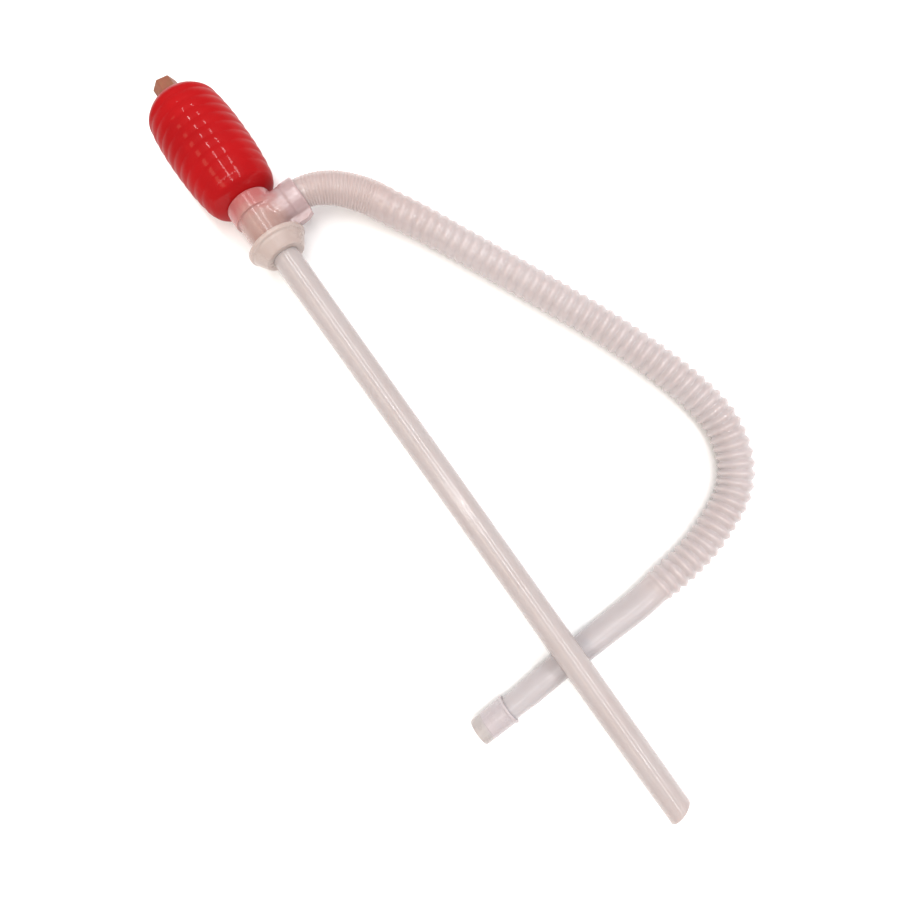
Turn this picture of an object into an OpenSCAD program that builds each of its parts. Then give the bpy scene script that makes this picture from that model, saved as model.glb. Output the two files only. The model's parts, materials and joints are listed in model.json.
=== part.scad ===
// Hand siphon pump: a ribbed squeeze bulb on a tee-shaped valve body, with a straight
// suction tube and a corrugated discharge hose. The pump lies on the ground, z = 0.
// +X runs from the bulb to the tip of the suction tube, +Y to the discharge side.

/* [Squeeze bulb] */
// Outer diameter of the bulb over its ribs
bulb_d = 47; // [46:0.2:52]
// Length of the bulb from its mouth to its end face
bulb_len = 71; // [66:0.5:80]
// Wall thickness of the bulb
bulb_wall = 1.8; // [1.2:0.1:2.5]
// Number of rounded ribs along the bulb
bulb_ribs = 12; // [9:1:15]
// Depth of the valleys between the ribs
rib_depth = 0.7; // [0.3:0.1:1]
// Length of the spigot that plugs the bulb into the valve body
spigot_len = 8.3; // [6:0.1:8.3]

/* [Air vent] */
// Diameter of the vent cap over its corners
cap_d = 14.4; // [13.5:0.1:16]
// Height of the vent cap
cap_len = 9.7; // [8:0.1:11]
// Number of flats around the vent cap
cap_flats = 6; // [6:1:8]
// Angle by which the vent cap is turned from a corner at the top
cap_turn = 16; // [0:1:30]
// Diameter of the threaded nipple under the cap
nipple_d = 7.8; // [6:0.2:8]
// Diameter of the air hole through the nipple
vent_hole_d = 3; // [1:0.5:4]

/* [Valve body] */
// Outer diameter of the neck that takes the bulb's spigot
neck_d = 26.8; // [26.8:0.1:28]
// Length of the neck
neck_len = 9.6; // [9.5:0.1:10]
// Outer diameter of the valve chamber
chamber_d = 24.2; // [23.8:0.1:24.6]
// Distance from the bulb's mouth to the lower end of the chamber
chamber_end = 30.5; // [30:0.1:31]
// Wall thickness of the body
body_wall = 1.8; // [1.6:0.1:2]
// Outer diameter of the side port
port_d = 21; // [20.6:0.1:21.4]
// Distance from the bulb's mouth to the middle of the side port
port_at = 12.5; // [12:0.1:13]
// Distance from the pump's axis to the end of the side port
port_reach = 27.5; // [27:0.1:29]

/* [Check valves] */
// Distance that each valve disc lifts off its seat
valve_lift = 2.5; // [1:0.1:2.5]
// Diameter of the inlet valve disc
inlet_disc_d = 12; // [11:0.2:14]
// Diameter of the outlet valve disc
outlet_disc_d = 10.4; // [9:0.2:12]
// Thickness of each valve disc
disc_t = 1.5; // [1:0.1:1.5]
// Diameter of the stem that guides each disc
stem_d = 2.4; // [2:0.1:3]

/* [Suction tube] */
// Outer diameter of the suction tube
tube_d = 16; // [15:0.1:16]
// Wall thickness of the suction tube
tube_wall = 1; // [0.8:0.1:1.5]
// Distance from the bulb's mouth to the tip of the tube
tube_tip = 424.3; // [300:0.1:600]
// Distance from the longest to the shortest point of the slanted tip
tip_slant = 5.5; // [2:0.1:12]
// Outer diameter of the flange on the tube collar
collar_d = 35.4; // [34:0.2:36]
// Thickness of the flange's rim
collar_rim = 2.2; // [2:0.1:3]

/* [Discharge hose] */
// Outer diameter of the corrugated length
corrugated_d = 21.2; // [19:0.1:21.6]
// Outer diameter of the plain length
plain_d = 15.3; // [15:0.1:15.3]
// Diameter of the hose inside the side port
hose_root_d = 17.8; // [17:0.1:17.9]
// Length of the sleeve on the free end of the hose
cuff_len = 23; // [18:0.5:30]
// Outer diameter of the sleeve
cuff_d = 16.8; // [16.6:0.1:17.4]
// Outer diameter of the bead around the sleeve
bead_d = 18.2; // [17.8:0.1:18.2]
// Diameter of the open mouth of the sleeve
cuff_bore = 13; // [10:0.2:13.4]

/* [Hidden] */
$fn = 64;

fit = 0.05;                    // gap at a face that rests or runs on another piece
over = 1;                      // how far a cutting shape runs past the face it cuts
bulb_r = bulb_d / 2;
neck_r = neck_d / 2;
chamber_r = chamber_d / 2;
chamber_bore = chamber_r - body_wall;
port_r = port_d / 2;
tube_r = tube_d / 2;

// vent, as distances out from the bulb's mouth, away from the tube
seat_flange_t = 1.5;
seat_top = bulb_len + seat_flange_t + fit;
cap_base = seat_top + fit;
cap_end = cap_base + cap_len;
cap_roof = 2;
washer_t = 1;
nipple_top = cap_end - cap_roof - washer_t - 2 * fit;
shank_r = 5.5;

// where the pump's axis lies, and the bulb's mouth on it
axis_x = (cap_end - tube_tip) / 2;
axis_y = (bulb_r - port_reach) / 2;
axis_z = bulb_r;

// inlet valve, as distances from the bulb's mouth towards the tube
seat_t = 2;
lip = 0.6;
inlet_seat_at = chamber_end - seat_t;
inlet_disc_at = inlet_seat_at - lip - fit;
inlet_cage_at = inlet_disc_at - disc_t - valve_lift - 0.15;
cage_t = 2.2;
stem_run = 4.3;

// outlet valve, as distances from the pump's axis along the side port
socket_depth = 6;
socket_r = hose_root_d / 2 + 0.1;
port_bore = socket_r - 1;
outlet_seat_at = 11.75;
outlet_disc_at = outlet_seat_at + seat_t + lip + fit;
outlet_cage_at = outlet_disc_at + disc_t + valve_lift + 0.15;

// collar, as distances from the bulb's mouth
collar_at = chamber_end - 3.3;
web_t = 1.5;
rib_t = 3;                     // the gusset between the side port and the chamber
tube_at = chamber_end + web_t;
seal_r = 0.95;
seal_at = tube_at + 2.2;
collar_end = tube_at + 4.8;

// The hose's route on the ground plane and down from the port, as points of its middle
// line: out of the side port, down to the ground, round the bend, back under the tube.
ROUTE = [
    [-158.5, 20, 23.5], [-158.5, 25.5, 23.5], [-156.5, 33.5, 23], [-152, 42, 21.5],
    [-145.5, 50, 19], [-137, 57.5, 16], [-126, 64, 13.5], [-112, 72.5, 11.6], [-94, 81.5, 10.8],
    [-61.5, 97, 10.6], [-30, 111.5, 10.6], [0, 125, 10.6], [26, 135, 10.6], [49, 142.5, 10.6],
    [67, 147, 10.6], [82, 149, 10.6], [96, 147.5, 10.6], [108, 143.5, 10.6], [118, 137, 10.6],
    [126, 127.5, 10.6], [132, 114.5, 10.6], [138, 98.5, 10.6], [141.5, 80, 10.6],
    [143.5, 61, 10.2], [145, 52, 9.5], [146, 43, 8.7], [147, 25, 7.8], [148, 8, 7.8],
    [149, -12, 7.8], [150.5, -32, 8.6], [151.5, -48, 9.1], [152, -58, 9.1]
];
ROOT_LAST = 1;                 // last point at the port's diameter
PLEAT_LAST = 23;               // last corrugated point
PLAIN_LAST = 29;               // last point at the full plain diameter
hose_tip_r = 7.2;
hose_sides = 12;

// ---------- helpers ----------

// Puts a piece drawn about the pump's axis, mouth at the origin, in its place.
module on_pump() {
    translate([axis_x, axis_y, axis_z]) children();
}

// Draws a revolved piece along +X, from [radius, distance] points.
module spun(points) {
    rotate([0, 90, 0]) rotate_extrude() polygon(points);
}

// A round bar along +X from one distance to another.
module bar(r, from, to) {
    translate([from, 0, 0]) rotate([0, 90, 0]) cylinder(r = r, h = to - from);
}

// Turns a piece drawn along +X so that it stands in the side port.
module in_port() {
    translate([port_at, 0, 0]) rotate([0, 0, 90]) children();
}

// Radius of the barrel-shaped bulb, without ribs, at a distance from its mouth.
function bow(a) = 1.5 * pow(abs(a - bulb_len / 2) / 23, 2.5);
function fade(e, run, power) = e < run ? pow(1 - e / run, power) : 0;
function barrel(a) = bulb_r - bow(a) - 7 * fade(a, 7, 2.2)
    - 9.8 * fade(bulb_len - a, 10, 2.3);
function rib(a) = rib_depth * (1 - abs(sin(180 * a * bulb_ribs / bulb_len)));

// ---------- bulb and vent ----------

module squeeze_bulb() {
    steps = bulb_ribs * 6;
    outside = [for (i = [0:steps]) let (a = bulb_len * i / steps)
        [barrel(a) - rib(a) * min(1, a / 4, (bulb_len - a) / 6), -a]];
    shoulder = 2.2;
    inner_len = bulb_len - shoulder - bulb_wall;
    inside = [for (i = [0:24]) let (a = shoulder + inner_len * (1 - i / 24))
        [barrel(a) - rib_depth - bulb_wall, -a]];
    spigot_r = neck_r - body_wall;
    spigot_bore = spigot_r - bulb_wall;
    spigot = [[spigot_bore, -shoulder], [spigot_bore, spigot_len], [spigot_r - 0.3, spigot_len],
        [spigot_r, spigot_len - 0.3], [spigot_r, 0]];
    end_hole = [[shank_r, -bulb_len], [shank_r, bulb_wall - bulb_len]];
    color("firebrick") on_pump() spun(concat(outside, end_hole, inside, spigot));
}

module vent_seat() {
    inner = bulb_len - bulb_wall - fit;
    color("wheat") on_pump() difference() {
        spun([[0, -nipple_top], [nipple_d / 2, -nipple_top], [nipple_d / 2, -seat_top],
            [6.6, -seat_top], [6.6, -bulb_len - fit], [shank_r - fit, -bulb_len - fit],
            [shank_r - fit, -inner], [7, -inner], [7, 1.2 - inner], [0, 1.2 - inner]]);
        bar(vent_hole_d / 2, -nipple_top - over, 1.2 - inner + over);
    }
}

module vent_washer() {
    top = nipple_top + fit;
    color("dimgray") on_pump() bar(nipple_d / 2, -top - washer_t, -top);
}

module vent_cap() {
    corner_r = cap_d / 2;
    round_r = 1.6;
    crown = 1.2;
    color("tan") on_pump() rotate([cap_turn, 0, 0]) rotate([0, -90, 0]) difference() {
        intersection() {
            translate([0, 0, cap_base]) linear_extrude(cap_len)
                offset(r = round_r, $fn = 32) circle(r = corner_r - round_r, $fn = cap_flats);
            rotate_extrude() polygon([[0, cap_base], [corner_r, cap_base],
                [corner_r, cap_end - crown], [corner_r - crown * 1.4, cap_end], [0, cap_end]]);
        }
        translate([0, 0, cap_base - over])
            cylinder(r = nipple_d / 2 + 0.1, h = cap_len - cap_roof + over);
    }
}

// ---------- valve body and its two check valves ----------

module valve_body() {
    step = 0.8;
    neck_bore = neck_r - body_wall;
    port_chamfer = 1.2;
    rim_clear = 0.5;
    rib_in = collar_d / 2 + rim_clear;
    color("linen") on_pump() difference() {
        union() {
            spun([[0, 0], [neck_r, 0], [neck_r, neck_len - step],
                [chamber_r, neck_len + step / 2], [chamber_r, chamber_end], [0, chamber_end]]);
            in_port() spun([[0, 0], [port_r, 0], [port_r, port_reach - port_chamfer],
                [port_r - port_chamfer, port_reach], [0, port_reach]]);
            linear_extrude(rib_t, center = true) polygon([[port_at, chamber_r - 1],
                [collar_at - rim_clear, chamber_r - 1], [collar_at - rim_clear, rib_in],
                [collar_at + 1.4, rib_in], [port_at + port_r + 2, port_reach - 0.4],
                [port_at, port_reach - 0.4]]);
        }
        bar(chamber_bore, -over, chamber_end + over);
        bar(neck_bore, -over, neck_len - 1.2);
        in_port() bar(port_bore, 0, port_reach - socket_depth + over);
        in_port() bar(socket_r, port_reach - socket_depth, port_reach + over);
    }
}

// A plate with a hole and a raised lip that a disc closes on. It is drawn with its
// back at 0 and its lip towards +X.
module valve_seat(r, hole_r) {
    difference() {
        spun([[0, 0], [r, 0], [r, seat_t], [hole_r + 1.2, seat_t],
            [hole_r + 0.9, seat_t + lip], [0, seat_t + lip]]);
        bar(hole_r, -over, seat_t + lip + over);
    }
}

// A disc at 0 with a guide stem towards +X.
module valve_disc(r) {
    bar(r, 0, disc_t);
    bar(stem_d / 2, disc_t - fit, disc_t + stem_run - valve_lift + 1.6);
}

// A ring at 0 with three arms to a hub that guides the stem.
module valve_cage(r) {
    hub_r = stem_d / 2 + 1.4;
    arm_w = 1.6;
    difference() {
        union() {
            bar(hub_r, 0, cage_t - 0.6);
            for (turn = [0:120:240]) rotate([turn, 0, 0])
                translate([0, -arm_w / 2, 0]) cube([cage_t - 0.6, arm_w, r - 0.6]);
            difference() {
                bar(r, 0, cage_t);
                bar(r - 1.3, -over, cage_t + over);
            }
        }
        bar(stem_d / 2 + 0.08, -over, cage_t + over);
    }
}

module inlet_seat() {
    color("ivory") on_pump() translate([chamber_end, 0, 0]) mirror([1, 0, 0])
        valve_seat(chamber_bore, 4.2);
}

module inlet_disc() {
    color("indianred") on_pump() translate([inlet_disc_at, 0, 0]) mirror([1, 0, 0])
        valve_disc(inlet_disc_d / 2);
}

module inlet_cage() {
    color("ivory") on_pump() translate([inlet_cage_at, 0, 0]) mirror([1, 0, 0])
        valve_cage(chamber_bore);
}

module outlet_seat() {
    color("ivory") on_pump() in_port() translate([outlet_seat_at, 0, 0])
        valve_seat(port_bore, 3.6);
}

module outlet_disc() {
    color("indianred") on_pump() in_port() translate([outlet_disc_at, 0, 0])
        valve_disc(outlet_disc_d / 2);
}

module outlet_cage() {
    color("ivory") on_pump() in_port() translate([outlet_cage_at, 0, 0])
        valve_cage(port_bore);
}

// ---------- collar and suction tube ----------

module tube_collar() {
    rim_end = collar_at + collar_rim;
    rim_r = collar_d / 2;
    skirt_r = rim_r - 1.4;
    color("linen") on_pump() difference() {
        spun([[0, collar_at], [rim_r - 0.4, collar_at], [rim_r, collar_at + 0.4],
            [rim_r, rim_end - 0.4], [skirt_r, rim_end + 0.5], [skirt_r - 0.4, rim_end + 1.7],
            [skirt_r - 1.8, rim_end + 3.9], [skirt_r - 3.3, rim_end + 6.2],
            [skirt_r - 4.3, collar_end], [0, collar_end]]);
        bar(chamber_r, collar_at - over, chamber_end);
        bar(tube_r - tube_wall, collar_at, collar_end + over);
        bar(tube_r, tube_at, collar_end + over);
        bar(tube_r + 2 * seal_r, seal_at - seal_r - fit, seal_at + seal_r + fit);
    }
}

module tube_seal() {
    color("dimgray") on_pump() translate([seal_at, 0, 0]) rotate([0, 90, 0])
        rotate_extrude() translate([tube_r + seal_r, 0]) circle(r = seal_r, $fn = 32);
}

module suction_tube() {
    width = 3 * tube_r;
    lean = atan(tip_slant / tube_d);
    roll = 25;
    color("gainsboro") on_pump() difference() {
        bar(tube_r, tube_at, tube_tip);
        bar(tube_r - tube_wall, tube_at - over, tube_tip + over);
        translate([tube_tip - tip_slant / 2, 0, 0]) rotate([roll, 0, 0]) rotate([0, 0, lean])
            translate([0, -width / 2, -width / 2]) cube(width);
    }
}

// ---------- discharge hose ----------

function unit(v) = v / norm(v);
function hose_r(i) = i <= ROOT_LAST ? hose_root_d / 2
    : i <= PLEAT_LAST ? corrugated_d / 2
    : i <= PLAIN_LAST ? plain_d / 2 : hose_tip_r;
function heading(i) = let (n = len(ROUTE) - 1)
    i == 0 ? unit(ROUTE[1] - ROUTE[0])
    : i == n ? unit(ROUTE[n] - ROUTE[n - 1])
    : unit(unit(ROUTE[i + 1] - ROUTE[i]) + unit(ROUTE[i] - ROUTE[i - 1]));
function ring(i) = let (
        ahead = heading(i),
        side = unit(cross([0, 0, 1], ahead)),
        up = cross(ahead, side))
    [for (k = [0:hose_sides - 1]) let (turn = 360 * (k + 0.5) / hose_sides)
        ROUTE[i] + hose_r(i) * (cos(turn) * side + sin(turn) * up)];

module discharge_hose() {
    last = len(ROUTE) - 1;
    points = [for (i = [0:last]) each ring(i)];
    sides = [for (i = [0:last - 1]) for (k = [0:hose_sides - 1])
        let (a = i * hose_sides + k, b = i * hose_sides + (k + 1) % hose_sides)
        each [[a, a + hose_sides, b], [b, a + hose_sides, b + hose_sides]]];
    near_end = [for (k = [0:hose_sides - 1]) k];
    far_end = [for (k = [hose_sides - 1:-1:0]) last * hose_sides + k];
    color("gainsboro") polyhedron(points = points, faces = concat([near_end], sides, [far_end]));
}

module hose_cuff() {
    last = len(ROUTE) - 1;
    run = ROUTE[last] - ROUTE[last - 1];
    grip = 9;
    mouth = cuff_len - grip;
    color("linen") translate(ROUTE[last]) rotate([0, 0, atan2(run.y, run.x)]) difference() {
        spun([[0, -grip], [bead_d / 2 - 0.4, -grip], [bead_d / 2, 0.4 - grip],
            [bead_d / 2, 1.4 - grip], [cuff_d / 2, 2 - grip], [cuff_d / 2, mouth - 0.6],
            [cuff_d / 2 - 0.6, mouth], [0, mouth]]);
        bar(hose_tip_r + 0.1, -grip - over, 0);
        bar(cuff_bore / 2, -over, mouth + over);
    }
}

squeeze_bulb();
vent_seat();
vent_washer();
vent_cap();
valve_body();
inlet_seat();
inlet_disc();
inlet_cage();
outlet_seat();
outlet_disc();
outlet_cage();
tube_collar();
tube_seal();
suction_tube();
discharge_hose();
hose_cuff();
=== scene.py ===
import json
import math

import bmesh
import bpy
import numpy as np
from mathutils import Matrix, Vector


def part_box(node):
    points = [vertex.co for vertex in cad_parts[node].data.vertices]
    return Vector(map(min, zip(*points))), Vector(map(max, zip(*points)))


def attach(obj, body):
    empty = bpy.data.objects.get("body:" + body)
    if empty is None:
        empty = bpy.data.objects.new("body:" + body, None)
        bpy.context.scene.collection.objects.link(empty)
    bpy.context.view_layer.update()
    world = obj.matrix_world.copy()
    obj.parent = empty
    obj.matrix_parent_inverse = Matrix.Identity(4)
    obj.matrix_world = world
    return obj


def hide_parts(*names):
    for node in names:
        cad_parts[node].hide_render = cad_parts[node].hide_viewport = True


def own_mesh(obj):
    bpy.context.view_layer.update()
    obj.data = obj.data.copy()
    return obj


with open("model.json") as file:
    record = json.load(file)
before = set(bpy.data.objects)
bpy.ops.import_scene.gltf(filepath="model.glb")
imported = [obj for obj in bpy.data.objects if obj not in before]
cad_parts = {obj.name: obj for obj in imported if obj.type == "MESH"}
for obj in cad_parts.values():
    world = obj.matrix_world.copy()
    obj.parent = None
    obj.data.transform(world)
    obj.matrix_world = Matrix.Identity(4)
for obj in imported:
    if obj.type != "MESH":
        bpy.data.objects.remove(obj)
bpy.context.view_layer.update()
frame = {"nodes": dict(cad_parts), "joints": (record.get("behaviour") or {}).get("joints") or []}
nodes = frame["nodes"]
joints = {joint["name"]: joint for joint in frame["joints"]}

MM = 0.001


# ---------- places that the frame gives ----------

tube_low, tube_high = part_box("suction_tube")
bulb_low, bulb_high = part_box("squeeze_bulb")
cap_low, cap_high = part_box("vent_cap")
collar_low, collar_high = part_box("tube_collar")
body_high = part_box("valve_body")[1]

AXIS_Y = (tube_low.y + tube_high.y) / 2
AXIS_Z = (tube_low.z + tube_high.z) / 2
MOUTH_X = joints["bulb_squeeze"]["deforming_nodes"][0]["fixed_end_x_m"]
PUMP = Vector((MOUTH_X, AXIS_Y, AXIS_Z))

# sizes in millimetres, as distances from the bulb's mouth along the pump's axis
TUBE_R = (tube_high.z - tube_low.z) / 2 / MM
TUBE_FROM = (tube_low.x - MOUTH_X) / MM
TUBE_TIP = (tube_high.x - MOUTH_X) / MM
BULB_R = (bulb_high.y - bulb_low.y) / 2 / MM
BULB_LEN = (MOUTH_X - bulb_low.x) / MM
SPIGOT_LEN = (bulb_high.x - MOUTH_X) / MM
CAP_BASE = (MOUTH_X - cap_high.x) / MM
CAP_END = (MOUTH_X - cap_low.x) / MM
COLLAR_FROM = (collar_low.x - MOUTH_X) / MM
COLLAR_END = (collar_high.x - MOUTH_X) / MM
CHAMBER_END = (body_high.x - MOUTH_X) / MM
PORT_REACH = (body_high.y - AXIS_Y) / MM


# ---------- camera ----------

def add_camera():
    """Looks straight down, turned so that the pump runs from top left to bottom right."""
    above_axis = 0.365
    view_width = 0.5085
    turn = math.radians(54.6)
    camera_data = bpy.data.cameras.new("camera")
    camera_data.sensor_width = 36
    camera_data.lens = camera_data.sensor_width * above_axis / view_width
    camera_data.shift_x = -0.0222
    camera_data.shift_y = 0.0333
    camera_data.clip_start = 0.01
    camera = bpy.data.objects.new("camera", camera_data)
    bpy.context.scene.collection.objects.link(camera)
    camera.location = PUMP + Vector((0.1997, 0.0116, above_axis))
    camera.rotation_euler = (0, 0, turn)
    bpy.context.scene.camera = camera


add_camera()


# ---------- mesh helpers ----------

def make_mesh(name, points, faces, sharp=50):
    """A smooth-shaded mesh object from points in metres."""
    mesh = bpy.data.meshes.new(name)
    mesh.from_pydata([tuple(p) for p in points], [], [tuple(f) for f in faces])
    mesh.polygons.foreach_set("use_smooth", [True] * len(mesh.polygons))
    mesh.set_sharp_from_angle(angle=math.radians(sharp))
    mesh.update()
    piece = bpy.data.objects.new(name, mesh)
    bpy.context.scene.collection.objects.link(piece)
    return piece


def loft(rings, closed_along):
    """Points and faces of a skin over rings of equal length. rings is an array of
    (ring, point, xyz). closed_along joins the last ring to the first."""
    rings = np.asarray(rings)
    count, sides = rings.shape[:2]
    faces = []
    for i in range(count if closed_along else count - 1):
        first = i * sides
        second = (i + 1) % count * sides
        for k in range(sides):
            after = (k + 1) % sides
            faces.append((first + k, second + k, second + after, first + after))
    return rings.reshape(-1, 3), faces


def arc_corners(outline, steps=4):
    """Rounds a closed outline. Each corner is (along, radius, rounding)."""
    rounded = []
    count = len(outline)
    for i in range(count):
        here = np.array(outline[i][:2], float)
        reach = outline[i][2]
        before = np.array(outline[i - 1][:2], float) - here
        after = np.array(outline[(i + 1) % count][:2], float) - here
        if reach <= 0:
            rounded.append(here)
            continue
        start = here + before / np.linalg.norm(before) * reach
        end = here + after / np.linalg.norm(after) * reach
        for u in np.linspace(0, 1, steps + 1):
            rounded.append((1 - u) ** 2 * start + 2 * u * (1 - u) * here + u * u * end)
    return rounded


def turned(name, outline, sides=96, longest=None):
    """A piece turned about the pump's axis from a closed outline of (along, radius)
    in millimetres. Stretches over longest millimetres are divided."""
    if longest:
        divided = []
        for a, b in zip(outline, outline[1:] + outline[:1]):
            parts = max(1, math.ceil(np.linalg.norm(np.subtract(b, a)) / longest))
            divided += [np.array(a) + (np.array(b) - a) * u / parts for u in range(parts)]
        outline = divided
    turn = np.linspace(0, 2 * math.pi, sides, endpoint=False)
    rings = [
        np.stack([np.full(sides, a), r * np.cos(turn), r * np.sin(turn)], axis=1)
        for a, r in outline
    ]
    points, faces = loft(rings, closed_along=True)
    return make_mesh(name, points * MM + np.array(PUMP), faces)


def face_out(piece):
    """Turns every face of a closed piece outwards."""
    work = bmesh.new()
    work.from_mesh(piece.data)
    bmesh.ops.recalc_face_normals(work, faces=work.faces)
    work.to_mesh(piece.data)
    work.free()
    return piece


def ease(x, start, end):
    """0 before start, 1 after end, and smooth between them."""
    t = np.clip((np.asarray(x, float) - start) / (end - start), 0, 1)
    return t * t * (3 - 2 * t)


# ---------- discharge hose ----------

# the points that the hose is led along, from inside the side port to its open end
ROUTE = [
    (-0.1585, 0.02, 0.0235), (-0.1585, 0.0255, 0.0235), (-0.1565, 0.0335, 0.023),
    (-0.152, 0.042, 0.0215), (-0.1455, 0.05, 0.019), (-0.137, 0.0575, 0.016),
    (-0.126, 0.064, 0.0135), (-0.112, 0.0725, 0.0116), (-0.094, 0.0815, 0.0108),
    (-0.0615, 0.097, 0.0106), (-0.03, 0.1115, 0.0106), (0, 0.125, 0.0106),
    (0.026, 0.135, 0.0106), (0.049, 0.1425, 0.0106), (0.067, 0.147, 0.0106),
    (0.082, 0.149, 0.0106), (0.096, 0.1475, 0.0106), (0.108, 0.1435, 0.0106),
    (0.118, 0.137, 0.0106), (0.126, 0.1275, 0.0106), (0.132, 0.1145, 0.0106),
    (0.138, 0.0985, 0.0106), (0.1415, 0.08, 0.0106), (0.1435, 0.061, 0.0102),
    (0.145, 0.052, 0.0095), (0.146, 0.043, 0.0087), (0.147, 0.025, 0.0078),
    (0.148, 0.008, 0.0078), (0.149, -0.012, 0.0078), (0.1505, -0.032, 0.0086),
    (0.1515, -0.048, 0.0091), (0.152, -0.058, 0.0091),
]
PLEAT_LAST = 23  # the last route point with ribs
PLAIN_LAST = 29  # the last route point before the hose narrows into its cuff


def smooth_line(route, step=0.0003):
    """A smooth curve along the route, as evenly spaced points, and its points' lengths.
    The curve passes through the route's points, and is then eased over a short stretch."""
    ease_over = 0.022
    knots = np.array([route[0]] + list(route) + [route[-1]], float)
    knots[0] += knots[1] - knots[2]
    knots[-1] += knots[-2] - knots[-3]
    fine = []
    for i in range(1, len(knots) - 2):
        p0, p1, p2, p3 = knots[i - 1:i + 3]
        chord = np.linalg.norm(p2 - p1)
        in_slope = (p2 - p0) / (np.linalg.norm(p2 - p1) + np.linalg.norm(p1 - p0)) * chord
        out_slope = (p3 - p1) / (np.linalg.norm(p3 - p2) + np.linalg.norm(p2 - p1)) * chord
        for u in np.linspace(0, 1, 60, endpoint=False):
            fine.append(
                (2 * u**3 - 3 * u**2 + 1) * p1 + (u**3 - 2 * u**2 + u) * in_slope
                + (3 * u**2 - 2 * u**3) * p2 + (u**3 - u**2) * out_slope
            )
    fine = np.array(fine + [knots[-2]])
    along = np.concatenate([[0], np.cumsum(np.linalg.norm(np.diff(fine, axis=0), axis=1))])
    count = int(along[-1] / step)
    even = np.linspace(0, along[-1], count)
    line = np.stack([np.interp(even, along, fine[:, k]) for k in range(3)], axis=1)
    window = np.hanning(int(ease_over / step) | 1)
    window /= window.sum()
    pad = len(window) // 2
    padded = np.concatenate([
        2 * line[0] - line[pad:0:-1], line, 2 * line[-1] - line[-2:-pad - 2:-1]
    ])
    soft = np.stack([np.convolve(padded[:, k], window, "valid") for k in range(3)], axis=1)
    keep = ease(even, 0.007, 0.02) * ease(even[-1] - even, 0.012, 0.03)
    line += (soft - line) * keep[:, None]
    return line, even


hose_line, hose_run = smooth_line(ROUTE)


def run_at(point):
    """The length along the hose at which it passes a route point."""
    gap = np.linalg.norm(hose_line - np.array(point), axis=1)
    return hose_run[int(np.argmin(gap))]


PORT_RUN = run_at(ROUTE[1])
PLEAT_END = run_at(ROUTE[PLEAT_LAST])
PLAIN_END = run_at(ROUTE[PLAIN_LAST])
HOSE_END = hose_run[-1]


# outer radius over the ribs and depth of the grooves, in millimetres, along the hose
CREST_STOPS = (5.5, 14, 26, 45, 65, 100, 150, 230, 310, 350, 385, 410)
CREST_SIZES = (8.3, 8.9, 9.6, 10.1, 10.2, 9.95, 10.1, 10.3, 10.6, 10.5, 10.2, 10.0)
GROOVE_STOPS = (50, 75, 140, 200, 240, 320, 400)
GROOVE_SIZES = (0.8, 0.95, 1.1, 1.6, 1.85, 1.9, 1.8)


def hose_profile():
    """Lengths along the hose, in metres, with the outer radius in millimetres at each.
    Fine pleats come first, then coarse ribs, and a plain length up to the open end."""
    fine_until = PORT_RUN + 0.040
    coarse_from = fine_until + 0.006
    fine_pitch = 0.0019
    coarse_pitch = 0.0058
    fine_depth = 0.42
    run = np.concatenate([
        np.arange(0, coarse_from, 0.0003),
        np.arange(coarse_from, PLEAT_END + 0.004, 0.0004),
        np.arange(PLEAT_END + 0.004, HOSE_END - 0.0002, 0.0015),
        [HOSE_END],
    ])
    fine = ease(run, PORT_RUN + 0.001, PORT_RUN + 0.004)
    fine *= 1 - ease(run, fine_until, coarse_from)
    coarse = ease(run, fine_until, coarse_from + 0.004)
    coarse *= 1 - ease(run, PLEAT_END - 0.005, PLEAT_END)
    crest = np.interp(run / MM, CREST_STOPS, CREST_SIZES)
    plain = 8.25 - 0.7 * ease(run, PLEAT_END + 0.02, PLEAT_END + 0.07)
    plain -= 0.35 * ease(run, PLAIN_END, PLAIN_END + 0.015)
    smooth = ease(run, PLEAT_END - 0.006, PLEAT_END + 0.002)
    radius = crest + (plain - crest) * smooth
    depth = np.interp(run / MM, GROOVE_STOPS, GROOVE_SIZES)
    wave = 0.5 - 0.5 * np.cos(2 * np.pi * (run - PORT_RUN) / fine_pitch)
    ribs = np.sqrt(np.sin(np.pi * (run - coarse_from) / coarse_pitch) ** 2 + 0.008)
    radius -= fine_depth * fine * wave
    radius -= depth * coarse * np.clip(1 - ribs, 0, 1) ** 0.8
    return run, radius


def hose_rings(run, radius, flatten, sides):
    """Rings round the hose's line. flatten makes the plain length slightly oval."""
    line = np.stack([np.interp(run, hose_run, hose_line[:, k]) for k in range(3)], axis=1)
    nudge = 0.0012
    ahead = np.stack([
        np.interp(run + nudge, hose_run, hose_line[:, k])
        - np.interp(run - nudge, hose_run, hose_line[:, k]) for k in range(3)
    ], axis=1)
    ahead /= np.linalg.norm(ahead, axis=1)[:, None]
    side = np.cross([0, 0, 1.0], ahead)
    side /= np.linalg.norm(side, axis=1)[:, None]
    up = np.cross(ahead, side)
    turn = np.linspace(0, 2 * math.pi, sides, endpoint=False)
    wide = radius * (1 + flatten) * MM
    high = radius * (1 - flatten) * MM
    return (
        line[:, None, :]
        + wide[:, None, None] * np.cos(turn)[None, :, None] * side[:, None, :]
        + high[:, None, None] * np.sin(turn)[None, :, None] * up[:, None, :]
    )


def add_hose():
    """The hollow hose: its outer skin and its inner skin, joined at both ends."""
    sides = 48
    wall = 0.9
    oval = 0.055
    run, radius = hose_profile()
    plain = ease(run, PLEAT_END - 0.004, PLEAT_END + 0.006)
    plain *= 1 - ease(run, PLAIN_END, PLAIN_END + 0.012)
    outer = hose_rings(run, radius, oval * plain, sides)
    inside = slice(None, None, -2)
    inner = hose_rings(run[inside], radius[inside] - wall, oval * plain[inside], sides)
    points, faces = loft(np.concatenate([outer, inner]), closed_along=True)
    return face_out(make_mesh("hose", points, faces, sharp=70))


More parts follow.
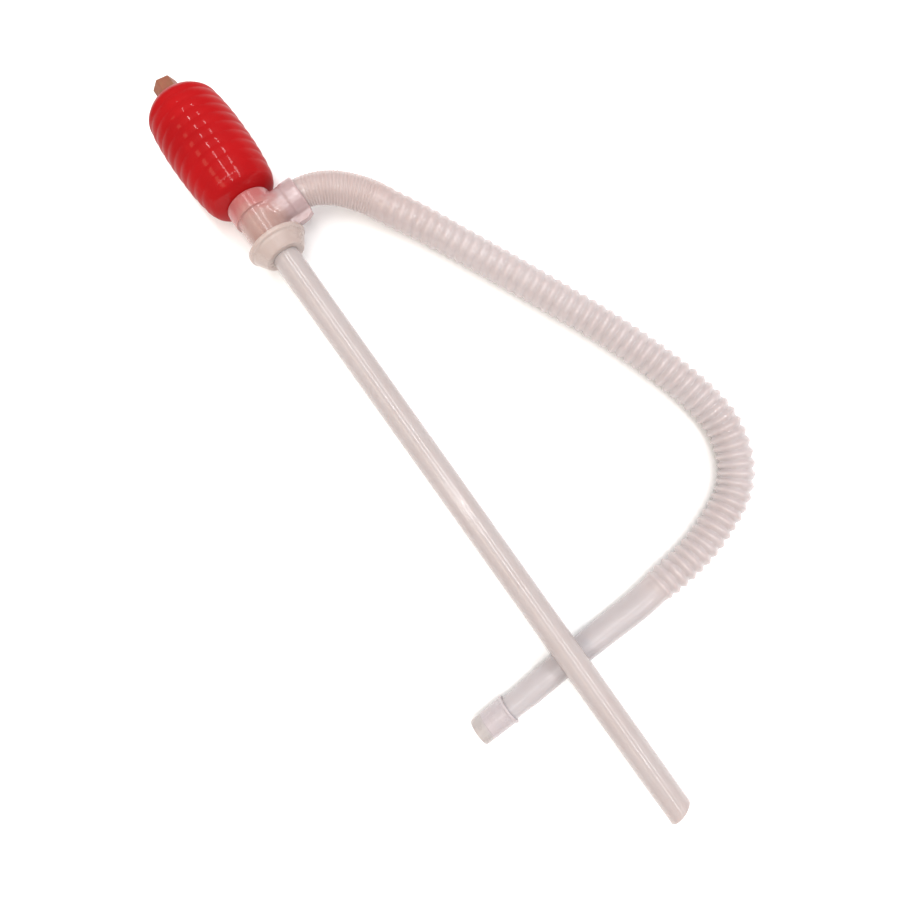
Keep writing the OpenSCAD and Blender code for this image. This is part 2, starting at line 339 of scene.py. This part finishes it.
hose = add_hose()
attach(hose, "pump")
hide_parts("discharge_hose")


# ---------- hose cuff ----------

def add_cuff():
    """The sleeve on the free end of the hose, with a bead round its near end."""
    cuff_low, cuff_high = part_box("hose_cuff")
    end = np.array(ROUTE[-1])
    run = end - np.array(ROUTE[-2])
    run /= np.linalg.norm(run)
    reach = (end[1] - cuff_low.y) / MM - 0.42
    grip = (cuff_high.y - end[1]) / MM - 0.45
    bead = 9.1
    barrel = 8.35
    socket = 7.32
    bore = 6.5
    outline = arc_corners([
        (-grip, socket, 0.2), (-grip, bead - 0.5, 0.3), (0.45 - grip, bead, 0.35),
        (1.35 - grip, bead, 0.4),
        (2.1 - grip, barrel, 0.4), (reach - 7.2, barrel, 0.3), (reach - 6.9, barrel - 0.25, 0.2),
        (reach - 1.6, barrel - 0.15, 0.4), (reach, barrel - 0.35, 0.4),
        (reach, bore + 0.25, 0.3), (0.4, bore, 0.3), (0, bore, 0.2), (0, socket, 0.1),
    ])
    turn = np.linspace(0, 2 * math.pi, 72, endpoint=False)
    side = np.cross([0, 0, 1.0], run)
    side /= np.linalg.norm(side)
    rings = [
        end + run * a * MM
        + (np.cos(turn)[:, None] * side + np.sin(turn)[:, None] * np.array([0, 0, 1.0])) * r * MM
        for a, r in outline
    ]
    points, faces = loft(rings, closed_along=True)
    return face_out(make_mesh("cuff", points, faces))


cuff = add_cuff()
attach(cuff, "pump")
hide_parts("hose_cuff")


# ---------- squeeze bulb ----------

BULB_RIBS = 12


def fade(distance, reach, power):
    """1 at no distance, falling to 0 at the reach."""
    return np.clip(1 - distance / reach, 0, None) ** power


def barrel_radius(a):
    """The bulb's radius without its ribs, a millimetres from its mouth."""
    bow = 1.5 * (abs(a - BULB_LEN / 2) / 23) ** 2.5
    return BULB_R - bow - 7 * fade(a, 7, 2.2) - 9.8 * fade(BULB_LEN - a, 10, 2.3)


def add_bulb():
    """The hollow bulb: ringed outside with a faint mould seam, plain inside, open at its mouth,
    with a hole for the vent in its far end."""
    wall = 1.8
    rib_depth = 0.42
    seam_height = 0.048
    steps = BULB_RIBS * 20
    sides = 144
    turn = np.linspace(0, 2 * math.pi, sides, endpoint=False)
    rings = []
    for a in np.linspace(0, BULB_LEN, steps + 1):
        valley = math.sqrt(math.sin(math.pi * a * BULB_RIBS / BULB_LEN) ** 2 + 0.03)
        strength = min(1, a / 5, (BULB_LEN - a) / 9)
        radius = barrel_radius(a) - rib_depth * strength * max(0, 1 - valley)
        radius += strength * 0.05 * np.sin(3 * turn + a * 0.21) * math.sin(a * 0.13)
        seam = seam_height * strength * np.exp(-((np.sin(turn) / 0.012) ** 2))
        round_ring = radius - 0.05 * strength + seam
        rings.append(np.stack([np.full(sides, -a), round_ring * np.cos(turn),
                               round_ring * np.sin(turn)], axis=1))
    hole = 5.5
    flat = barrel_radius(BULB_LEN)
    for r in (flat - 0.6, flat - 1.4, hole + 1.2, hole + 0.4, hole):
        rings.append(np.stack([np.full(sides, -BULB_LEN), r * np.cos(turn),
                               r * np.sin(turn)], axis=1))
    for a in np.linspace(BULB_LEN - wall, 2.2, 40):
        r = hole if a > BULB_LEN - wall - 1e-6 else barrel_radius(a) - wall - 0.5
        rings.append(np.stack([np.full(sides, -a), r * np.cos(turn), r * np.sin(turn)], axis=1))
    for a, r in ((1.2, 11.0), (0.0, 10.6)):
        rings.append(np.stack([np.full(sides, -a), r * np.cos(turn), r * np.sin(turn)], axis=1))
    points, faces = loft(rings, closed_along=True)
    return face_out(make_mesh("bulb", points * MM + np.array(PUMP), faces, sharp=60))


bulb = add_bulb()
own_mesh(bulb)
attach(bulb, "pump")
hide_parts("squeeze_bulb")

# the body's neck, in millimetres: its outer radius and the thickness of its wall
NECK_R = 13.4
WALL = 1.8

spigot = face_out(turned("bulb_spigot", arc_corners([
    (-0.02, NECK_R - WALL - 0.02, 0.1), (SPIGOT_LEN, NECK_R - WALL - 0.02, 0.4),
    (SPIGOT_LEN, NECK_R - 2 * WALL, 0.4), (-0.02, NECK_R - 2 * WALL, 0.1),
])))
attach(spigot, "pump")


# ---------- vent cap ----------

def rounded_hexagon(corner, rounding, inset, first):
    """A ring of points round a hexagon with rounded corners."""
    radius = max(rounding - inset, 0.15)
    centre_reach = corner - rounding / math.cos(math.pi / 6)
    if inset > rounding:
        centre_reach -= (inset - rounding) / math.cos(math.pi / 6)
    ring = []
    for k in range(6):
        heading = first + k * math.pi / 3
        centre = centre_reach * np.array([math.cos(heading), math.sin(heading)])
        for u in np.linspace(-math.pi / 6, math.pi / 6, 7):
            ring.append(centre + radius * np.array([math.cos(heading + u), math.sin(heading + u)]))
    ring = np.array(ring)
    after = np.roll(ring, -1, axis=0)
    return np.stack([ring, (ring + after) / 2], axis=1).reshape(-1, 2)


def add_cap():
    """A six-sided knob with soft corners, a crowned top and a hollow underside."""
    corner = 7.2
    rounding = 0.9
    turn = math.radians(90 + 16)
    bore = 4.0
    length = CAP_END - CAP_BASE
    roof = length - 2
    shape = [(0.0, 0.5), (0.15, 0.2), (0.5, 0.0), (1.0, 0.0)]
    shape += [(1.0 + (length - 2.2) * u, 0.06 * u) for u in (0.25, 0.5, 0.75, 1)]
    shape += [(length - 0.7, 0.1), (length - 0.35, 0.2), (length - 0.12, 0.42), (length, 0.8)]
    rings = []
    for a, inset in shape:
        ring = rounded_hexagon(corner, rounding, inset, turn)
        rings.append(np.column_stack([np.full(len(ring), -CAP_BASE - a), ring]))
    heading = np.arctan2(ring[:, 1], ring[:, 0])

    def circle(a, r):
        return np.column_stack([
            np.full(len(heading), -CAP_BASE - a), r * np.cos(heading), r * np.sin(heading)])

    rings += [circle(length, 3.4), circle(length - 0.12, 3.1), circle(length - 0.45, 2.8),
              circle(length - 0.5, 1.5), circle(length - 0.5, 0.02)]
    rings += [circle(roof, 0.02), circle(roof, bore - 0.3), circle(roof - 0.3, bore)]
    rings += [circle(a, bore) for a in np.linspace(roof - 1, 0.4, 6)]
    rings += [circle(0, bore + 0.4)]
    points, faces = loft(rings, closed_along=True)
    return face_out(make_mesh("cap", points * MM + np.array(PUMP), faces, sharp=60))


cap = add_cap()
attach(cap, "cap")
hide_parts("vent_cap")


# ---------- valve body ----------

def blend_min(a, b, soft):
    """The nearer of two distances, with a fillet of about soft millimetres."""
    h = np.clip(0.5 + 0.5 * (b - a) / soft, 0, 1)
    return b + (a - b) * h - soft * h * (1 - h)


def drum(along, across, radius, start, end, edge):
    """Distance to a round bar with rounded edges."""
    out = across - radius + edge
    past = np.maximum(start - along, along - end) + edge
    outside = np.hypot(np.maximum(out, 0), np.maximum(past, 0))
    return outside + np.minimum(np.maximum(out, past), 0) - edge


# the side port's place along the pump's axis, in millimetres from the bulb's mouth
PORT_AT = (ROUTE[1][0] - MOUTH_X) / MM


def gusset(a, y, z):
    """Distance to the web that joins the side port to the chamber beside the collar."""
    half_thickness = 2.2
    web = np.abs(z) - half_thickness
    corner_a, corner_y = PORT_AT + 12.6, PORT_REACH - 0.5
    slope = math.radians(23)
    web = np.maximum(web, (a - corner_a) * math.cos(slope) + (y - corner_y) * math.sin(slope))
    web = np.maximum(web, y - corner_y)
    web = np.maximum(web, a - (COLLAR_FROM - 0.5))
    return np.maximum(web, np.maximum(9 - y, PORT_AT - a))


def body_distance(a, y, z):
    """Distance to the tee-shaped body, a millimetres from the bulb's mouth."""
    around = np.hypot(y, z)
    about_port = np.hypot(a - PORT_AT, z)
    neck = drum(a, around, NECK_R, 0, 9.2, 0.5)
    chamber = drum(a, around, 12.1, 2, CHAMBER_END, 0.4)
    trunk = blend_min(neck, chamber, 0.9)
    port = drum(y, about_port, 9.8, 0, PORT_REACH - 1, 0.5)
    lip = drum(y, about_port, 10.15, PORT_REACH - 8.5, PORT_REACH, 0.9)
    port = blend_min(port, lip, 0.8)
    solid = blend_min(trunk, port, 2.6)
    solid = blend_min(solid, gusset(a, y, z), 1.2)
    hollow = np.minimum(
        drum(a, around, 10.3, -9, CHAMBER_END + 9, 0.1),
        drum(a, around, NECK_R - WALL, -9, 8.4, 0.2),
    )
    hollow = np.minimum(hollow, drum(y, about_port, 8.0, 0, PORT_REACH + 9, 0.1))
    hollow = np.minimum(hollow, drum(y, about_port, 9.0, PORT_REACH - 6, PORT_REACH + 9, 0.1))
    return -blend_min(-solid, hollow, 0.35)


def surface_net(distance, low, high, step):
    """A mesh over the places where distance is zero, on a grid of cells."""
    axes = [np.arange(low[k], high[k] + step, step) for k in range(3)]
    grid = np.stack(np.meshgrid(*axes, indexing="ij"), axis=-1)
    value = distance(grid[..., 0], grid[..., 1], grid[..., 2])
    inside = value < 0
    shape = np.array(value.shape) - 1
    total = np.zeros((*shape, 3))
    hits = np.zeros(shape)
    corners = [(i, j, k) for i in (0, 1) for j in (0, 1) for k in (0, 1)]

    def at(array, c):
        return array[c[0]:c[0] + shape[0], c[1]:c[1] + shape[1], c[2]:c[2] + shape[2]]

    for c in corners:
        for axis in range(3):
            if c[axis]:
                continue
            d = tuple(c[k] + (k == axis) for k in range(3))
            va, vb = at(value, c), at(value, d)
            crosses = (va < 0) != (vb < 0)
            share = np.where(crosses, va / np.where(crosses, va - vb, 1), 0)
            place = at(grid, c) + (at(grid, d) - at(grid, c)) * share[..., None]
            total += np.where(crosses[..., None], place, 0)
            hits += crosses
    used = hits > 0
    number = -np.ones(shape, int)
    number[used] = np.arange(used.sum())
    points = total[used] / hits[used][:, None]
    faces = []
    for axis in range(3):
        u, v = (axis + 1) % 3, (axis + 2) % 3
        low_side = np.take(inside, range(shape[axis]), axis=axis)
        high_side = np.take(inside, range(1, shape[axis] + 1), axis=axis)
        for i, j, k in np.argwhere(low_side != high_side):
            cell = np.array((i, j, k))
            if cell[u] == 0 or cell[v] == 0 or cell[u] >= shape[u] or cell[v] >= shape[v]:
                continue
            step_u = np.eye(3, dtype=int)[u]
            step_v = np.eye(3, dtype=int)[v]
            quad = [cell - step_u - step_v, cell - step_v, cell, cell - step_u]
            quad = [number[tuple(q)] for q in quad]
            faces.append(quad if low_side[i, j, k] else quad[::-1])
    return points, faces


def settle(points, distance, rounds=4):
    """Moves points onto the surface where distance is zero."""
    nudge = 0.02
    for _ in range(rounds):
        here = distance(*points.T)
        slope = np.stack([
            distance(*(points + nudge * np.eye(3)[k]).T)
            - distance(*(points - nudge * np.eye(3)[k]).T) for k in range(3)
        ], axis=1) / (2 * nudge)
        slope /= np.maximum(np.linalg.norm(slope, axis=1), 0.3)[:, None] ** 2
        points = points - slope * here[:, None] * 0.9
    return points


def add_body():
    """The tee, as one skin over all its solids and hollows."""
    cell = 0.52
    low = (-1.2, -NECK_R - 1.2, -NECK_R - 1.2)
    high = (CHAMBER_END + 1.2, PORT_REACH + 1.2, NECK_R + 1.2)
    points, faces = surface_net(body_distance, low, high, cell)
    points = settle(points, body_distance)
    return face_out(make_mesh("body", points * MM + np.array(PUMP), faces, sharp=40))


body = add_body()
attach(body, "pump")
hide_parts("valve_body")


# ---------- collar and suction tube ----------

def add_collar():
    """The nut-like collar: a thin flange with a skirt that narrows to the tube."""
    rim = (collar_high.z - collar_low.z) / 2 / MM
    rim_end = COLLAR_FROM + 2.2
    skirt = rim - 1.4
    seat = 12.12
    seal = TUBE_FROM + 2.2
    outline = arc_corners([
        (COLLAR_FROM, seat, 0.3), (COLLAR_FROM, rim, 0.5), (rim_end - 0.2, rim, 0.7),
        (rim_end + 0.5, skirt, 0.5), (rim_end + 1.7, skirt - 0.4, 0.5),
        (rim_end + 3.9, skirt - 1.8, 0.8), (rim_end + 6.2, skirt - 3.3, 0.4),
        (COLLAR_END, skirt - 4.3, 0.4), (COLLAR_END, TUBE_R + 0.05, 0.3),
        (seal + 1, TUBE_R + 0.05, 0), (seal + 1, TUBE_R + 1.9, 0), (seal - 1, TUBE_R + 1.9, 0),
        (seal - 1, TUBE_R + 0.05, 0), (TUBE_FROM - 0.02, TUBE_R + 0.05, 0),
        (TUBE_FROM - 0.02, TUBE_R - 1, 0.2), (CHAMBER_END + 0.02, TUBE_R - 1, 0.2),
        (CHAMBER_END + 0.02, seat, 0.1),
    ])
    return face_out(turned("collar", outline, sides=128, longest=2.5))


def add_tube():
    """A thin straight tube whose tip is cut at a slant, with a rounded rim."""
    wall = 1.0
    sides = 72
    slant = 5.5
    roll = math.radians(25)
    lead = 14
    round_off = 0.4
    turn = np.linspace(0, 2 * math.pi, sides, endpoint=False)
    facing = np.cos(turn - roll)

    def ring(a, r, cut):
        length = a - cut * slant / 2 * (1 + facing * r / TUBE_R)
        return np.stack([length, r * np.cos(turn), r * np.sin(turn)], axis=1)

    bore = TUBE_R - wall
    stops = np.linspace(TUBE_FROM, TUBE_TIP - lead, 120)
    slanting = [(TUBE_TIP - lead + (lead - round_off) * u, u) for u in np.linspace(0.08, 1, 14)]
    rings = [ring(a, TUBE_R, 0.0) for a in stops]
    rings += [ring(a, TUBE_R, u) for a, u in slanting]
    for angle in np.linspace(0, math.pi, 7)[1:-1]:
        rings.append(ring(TUBE_TIP - round_off + round_off * math.sin(angle),
                          TUBE_R - wall / 2 + wall / 2 * math.cos(angle), 1.0))
    rings += [ring(a, bore, u) for a, u in slanting[::-1]]
    rings += [ring(a, bore, 0.0) for a in stops[::-3]]
    rings += [ring(TUBE_FROM, bore, 0.0)]
    points, faces = loft(rings, closed_along=True)
    return face_out(make_mesh("tube", points * MM + np.array(PUMP), faces, sharp=60))


collar = add_collar()
tube = add_tube()
for piece, node, finish in ((collar, "tube_collar", "body_natural"),
                            (tube, "suction_tube", "tube_clear")):
    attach(piece, "pump")
    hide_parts(node)


# ---------- materials ----------

class Surface:
    """A Principled material whose nodes are added by short calls."""

    def __init__(self, name):
        self.material = bpy.data.materials.new(name)
        self.material.use_nodes = True
        self.tree = self.material.node_tree
        self.shader = self.tree.nodes["Principled BSDF"]
        self.place = self.tree.nodes.new("ShaderNodeTexCoord").outputs["Object"]

    def set(self, **values):
        """Sets inputs that are the same all over the surface."""
        for key, value in values.items():
            self.shader.inputs[key.replace("_", " ")].default_value = value

    def link(self, a, b):
        self.tree.links.new(a, b)

    def stretched(self, scale):
        mapping = self.tree.nodes.new("ShaderNodeMapping")
        mapping.inputs["Scale"].default_value = scale
        self.link(self.place, mapping.inputs["Vector"])
        return mapping.outputs["Vector"]

    def noise(self, scale, detail=3.0, roughness=0.55, stretch=None):
        """Noise over the object's own place. stretch packs it tighter along an axis."""
        node = self.tree.nodes.new("ShaderNodeTexNoise")
        node.inputs["Scale"].default_value = scale
        node.inputs["Detail"].default_value = detail
        node.inputs["Roughness"].default_value = roughness
        self.link(self.stretched(stretch) if stretch else self.place, node.inputs["Vector"])
        return node.outputs["Fac"]

    def spread(self, value, low, high, to_low, to_high):
        """Maps the range from low to high onto the one from to_low to to_high."""
        node = self.tree.nodes.new("ShaderNodeMapRange")
        for key, number in (("From Min", low), ("From Max", high),
                            ("To Min", to_low), ("To Max", to_high)):
            node.inputs[key].default_value = number
        self.link(value, node.inputs["Value"])
        return node.outputs["Result"]

    def mix(self, share, a, b, blend="MIX"):
        """Mixes two colours. share, a and b are each a value or another node's output."""
        node = self.tree.nodes.new("ShaderNodeMix")
        node.data_type = "RGBA"
        node.blend_type = blend
        for value, name in ((share, "Factor"), (a, "A"), (b, "B")):
            socket = node.inputs[name]
            if isinstance(value, tuple):
                socket.default_value = (*value, 1)
            elif isinstance(value, int):
                socket.default_value = value
            else:
                self.link(value, socket)
        return node.outputs["Result"]

    def blurred(self, axis, waver):
        """The place along an axis, in metres, wavering by some metres."""
        split = self.tree.nodes.new("ShaderNodeSeparateXYZ")
        self.link(self.place, split.inputs["Vector"])
        total = self.tree.nodes.new("ShaderNodeMath")
        self.link(split.outputs[axis], total.inputs[0])
        self.link(self.spread(self.noise(110, 3), 0.3, 0.7, -waver, waver), total.inputs[1])
        return total.outputs["Value"]

    def colour(self, value):
        self.link(value, self.shader.inputs["Base Color"])

    def roughness(self, value):
        self.link(value, self.shader.inputs["Roughness"])

    def bump(self, value, strength, distance, over=None):
        """Raises the surface by the value, on top of another bump's normal."""
        node = self.tree.nodes.new("ShaderNodeBump")
        node.inputs["Strength"].default_value = strength
        node.inputs["Distance"].default_value = distance
        self.link(value, node.inputs["Height"])
        if over:
            self.link(over, node.inputs["Normal"])
        self.link(node.outputs["Normal"], self.shader.inputs["Normal"])
        return node.outputs["Normal"]


def tinted(colour, factor, warm=0.0):
    """The colour made lighter or darker, and warmer."""
    return (colour[0] * factor * (1 + warm), colour[1] * factor, colour[2] * factor * (1 - warm))


def moulded(name, colour, gloss, clear=0.0, depth=0.0, cloud=45, grain=900, scratch=0.5,
            zones=(), waver=0.003):
    """Moulded plastic: cloudy colour, fine grain, hairline scratches and uneven gloss.
    Each zone is (axis, from, to, colour): the colour takes over from one place to the other."""
    s = Surface(name)
    clouds = s.spread(s.noise(cloud, 4), 0.3, 0.7, 0, 1)
    base = colour
    for axis, start, end, other in zones:
        share = s.spread(s.blurred(axis, waver), start, end, 0, 1)
        base = s.mix(share, base, other)
    shade = s.mix(clouds, (0.95, 0.93, 0.92), (1.0, 1.0, 1.0))
    s.colour(s.mix(1, base, shade, blend="MULTIPLY"))
    s.roughness(s.spread(s.noise(cloud * 3, 5), 0.25, 0.75, gloss - 0.07, gloss + 0.09))
    fine = s.bump(s.noise(grain, 2), 0.08, 0.0001)
    marks = s.noise(60, 2, 0.6, stretch=(1, 22, 22))
    s.bump(s.spread(marks, 0.6, 0.8, 0, 1), 0.05 * scratch, 0.0001, over=fine)
    s.set(IOR=1.5, Transmission_Weight=clear, Subsurface_Weight=depth, Subsurface_Scale=0.004)
    s.set(Subsurface_Radius=(1.0, 0.75, 0.65))
    return s.material


# base colours, linear. The natural plastic is tinted by its place on the pump
BULB_RED = (0.315, 0.0055, 0.007)
CHAMBER_TINT = (0.405, 0.265, 0.24)
# painted red light: the neck's pink stands in for the bulb's red showing through and bounced onto
# the neck's wall
NECK_RED_GLOW = (0.425, 0.13, 0.128)
PORT_TINT = (0.425, 0.31, 0.315)
COLLAR_TINT = (0.415, 0.335, 0.31)
TUBE_TINT = (0.465, 0.41, 0.405)
FINE_TINT = (0.42, 0.335, 0.325)
HOSE_TINT = (0.45, 0.39, 0.39)
PLAIN_TINT = (0.425, 0.39, 0.40)
CUFF_TINT = (0.42, 0.375, 0.39)
# painted shade: the darker band at the cuff's open end stands in for the shaded inner wall seen
# through the end
CUFF_END_SHADE = (0.385, 0.355, 0.35)
# painted shade and painted red light: the cap's tan stands in for pale plastic in shade, tinted
# red by light from the bulb
CAP_SHADED_TAN = (0.255, 0.08, 0.042)
CHALK = (0.36, 0.013, 0.01)
# painted shade: the olive of the cap's shaded side, laid in random streaks
OLIVE_SHADE = (0.19, 0.13, 0.045)
VALVE_WHITE = (0.72, 0.68, 0.62)
SEAL_BLACK = (0.03, 0.03, 0.033)
DISC_BROWN = (0.36, 0.10, 0.075)


def bulb_vinyl():
    """Soft red vinyl: cloudy colour, a fine grain and a thin gloss."""
    s = Surface("bulb_vinyl")
    clouds = s.spread(s.noise(38, 4), 0.3, 0.7, 0, 1)
    base = s.mix(clouds, tinted(BULB_RED, 0.92), tinted(BULB_RED, 1.08, 0.02))
    chalk = s.spread(s.noise(150, 6, 0.7), 0.56, 0.8, 0, 0.3)
    s.colour(s.mix(chalk, base, CHALK))
    s.roughness(s.spread(s.noise(120, 4), 0.3, 0.7, 0.3, 0.42))
    fine = s.bump(s.noise(1100, 3), 0.12, 0.00012)
    s.bump(s.noise(210, 2), 0.16, 0.0003, over=fine)
    s.set(IOR=1.45, Specular_IOR_Level=0.06, Coat_Roughness=0.09)
    facing = s.tree.nodes.new("ShaderNodeLayerWeight").outputs["Facing"]
    s.link(s.spread(facing, 0.12, 0.4, 0.3, 0), s.shader.inputs["Coat Weight"])
    return s.material


def cap_plastic():
    """Tan cap: matt, with olive streaks at random places. The tan is painted shade and painted red
    light from the bulb, and the olive is painted shade.
    """
    s = Surface("cap_plastic")
    clouds = s.spread(s.noise(160, 4), 0.3, 0.7, 0, 1)
    base = s.mix(clouds, tinted(CAP_SHADED_TAN, 0.85), tinted(CAP_SHADED_TAN, 1.12))
    # olive streaks of painted shade at random places
    olive_shade = s.spread(s.noise(240, 5, 0.65, stretch=(0.35, 1, 1)), 0.5, 0.72, 0, 0.55)
    s.colour(s.mix(olive_shade, base, OLIVE_SHADE))
    s.roughness(s.spread(s.noise(500, 3), 0.3, 0.7, 0.42, 0.6))
    fine = s.bump(s.noise(1600, 3), 0.2, 0.00015)
    s.bump(s.noise(300, 2), 0.15, 0.0003, over=fine)
    s.set(IOR=1.5)
    return s.material


def rubber(name, colour):
    """Matt rubber with a little dust on it."""
    s = Surface(name)
    dust = s.spread(s.noise(220, 5, 0.7), 0.5, 0.8, 0, 0.4)
    s.colour(s.mix(dust, colour, tinted(colour, 1.9)))
    s.roughness(s.spread(s.noise(300, 4), 0.3, 0.7, 0.5, 0.72))
    s.bump(s.noise(1800, 3), 0.25, 0.0001)
    return s.material


def dress(piece, material):
    piece.data.materials.clear()
    piece.data.materials.append(material)


red = bulb_vinyl()
tan = cap_plastic()
# the pink zone on the neck is painted red light from the bulb
red_glow_at = MOUTH_X + 0.006
natural = moulded("body_polyethylene", CHAMBER_TINT, 0.2, clear=0.12, depth=0.4, zones=[
    ("X", red_glow_at + 0.010, red_glow_at - 0.003, NECK_RED_GLOW),
    ("Y", AXIS_Y + 0.008, AXIS_Y + 0.016, PORT_TINT)])
pale = moulded("collar_polyethylene", COLLAR_TINT, 0.3, depth=0.4, scratch=0.2)
clear_tube = moulded("milky_tube", TUBE_TINT, 0.15, clear=0.12, depth=0.4, cloud=30, scratch=0.2)
clear_hose = moulded("milky_hose", HOSE_TINT, 0.18, depth=0.4, cloud=35, scratch=0, zones=[
    ("Y", 0.065, 0.045, PLAIN_TINT), ("X", -0.09, -0.135, FINE_TINT)])
# the darker band at the cuff's open end is painted shade
clear_cuff = moulded("milky_cuff", CUFF_TINT, 0.25, depth=0.4, waver=0, zones=[
    ("Y", -0.0652, -0.0658, CUFF_END_SHADE)])
white_valve = moulded("valve_polypropylene", VALVE_WHITE, 0.42, grain=1200)
black_rubber = rubber("seal_rubber", SEAL_BLACK)
disc_rubber = rubber("disc_rubber", DISC_BROWN)

for piece in (bulb, spigot):
    dress(piece, red)
for piece in (cap, nodes["vent_seat"]):
    dress(piece, tan)
dress(body, natural)
dress(collar, pale)
dress(tube, clear_tube)
dress(hose, clear_hose)
dress(cuff, clear_cuff)
for name in ("inlet_seat", "inlet_cage", "outlet_seat", "outlet_cage"):
    dress(nodes[name], white_valve)
for name in ("inlet_disc", "outlet_disc"):
    dress(nodes[name], disc_rubber)
for name in ("tube_seal", "vent_washer"):
    dress(nodes[name], black_rubber)


# ---------- floor and light ----------

def add_floor():
    """A wide pale floor."""
    half = 3.0
    points = [(-half, -half, 0), (half, -half, 0), (half, half, 0), (-half, half, 0)]
    floor = make_mesh("floor", points, [(0, 1, 2, 3)])
    s = Surface("pale_floor")
    shade = s.spread(s.noise(3, 3), 0.3, 0.7, 0, 1)
    s.colour(s.mix(shade, (0.90, 0.90, 0.90), (0.92, 0.92, 0.92)))
    s.roughness(s.spread(s.noise(40, 3), 0.3, 0.7, 0.75, 0.9))
    dress(floor, s.material)


def add_strip(name, length, width, energy, place, along=(1, 0, 0), colour=(1, 1, 1)):
    """A long narrow light over the pump, facing the pump, with its length along a direction."""
    light = bpy.data.lights.new(name, "AREA")
    light.shape = "RECTANGLE"
    light.size = length
    light.size_y = width
    light.energy = energy
    light.color = colour
    lamp = bpy.data.objects.new(name, light)
    bpy.context.scene.collection.objects.link(lamp)
    lamp.location = PUMP + Vector(place)
    along = Vector(along)
    aim = Vector(place)
    aim = (aim - aim.project(along)).normalized()
    lamp.rotation_euler = Matrix((along, aim.cross(along), aim)).transposed().to_euler()


def add_light():
    """An even pale sky for soft light, and four strips that draw the lines of gloss."""
    world = bpy.data.worlds.new("studio")
    world.use_nodes = True
    background = world.node_tree.nodes["Background"]
    background.inputs["Color"].default_value = (1.0, 0.99, 0.985, 1)
    background.inputs["Strength"].default_value = 0.95
    world.cycles_visibility.glossy = False
    bpy.context.scene.world = world
    add_strip("over_strip", 1.8, 0.02, 6, (0.2, 0.08, 1.1))
    add_strip("port_strip", 1.8, 0.03, 6, (0.2, 0.62, 1.05))
    add_strip("warm_strip", 1.6, 0.2, 3, (0.2, -0.55, 1.0), colour=(1.0, 0.8, 0.55))
    add_strip("cross_strip", 1.8, 0.012, 3.5, (0.24, 0, 1.1), along=(0, 1, 0))
    bpy.context.scene.view_settings.view_transform = "Standard"


add_floor()
add_light()
